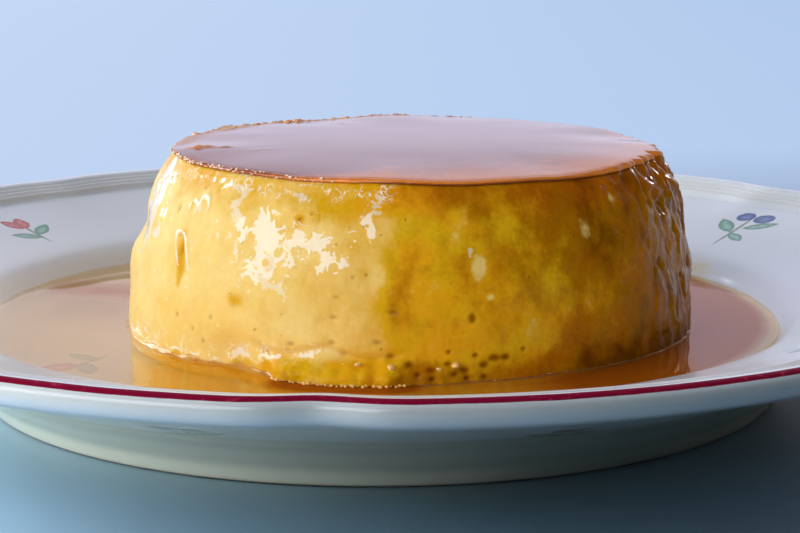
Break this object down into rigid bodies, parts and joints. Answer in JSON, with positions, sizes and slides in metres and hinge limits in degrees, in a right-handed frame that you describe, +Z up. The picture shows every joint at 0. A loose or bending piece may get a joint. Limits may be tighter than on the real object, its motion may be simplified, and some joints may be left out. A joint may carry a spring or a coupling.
{
  "type": "creme caramel flan",
  "caption": "Round baked custard with a caramel top, turned out on a scalloped dinner plate and standing in its own syrup.",
  "frame": {"origin": "middle of the plate's outline, on the table plane that its foot ring stands on", "axes": "+Z up, -Y towards the viewer of the front, +X to the right"},
  "size_m": [0.2696, 0.2696, 0.052],
  "materials": {
    "plate": "white glaze with a hand-painted crimson line on the lip and small painted sprigs",
    "custard": "wet, soft baked custard with small air holes, amber where caramel has soaked in",
    "caramel_layer": "wet caramel film, mirror-smooth in the middle and crumbly at the edge",
    "caramel_pool": "clear amber caramel syrup, a few millimetres deep"
  },
  "bodies": {
    "root": {"plate": "plate", "custard": "custard", "caramel_layer": "caramel_layer", "caramel_pool": "caramel_pool"}
  },
  "joints": []
}
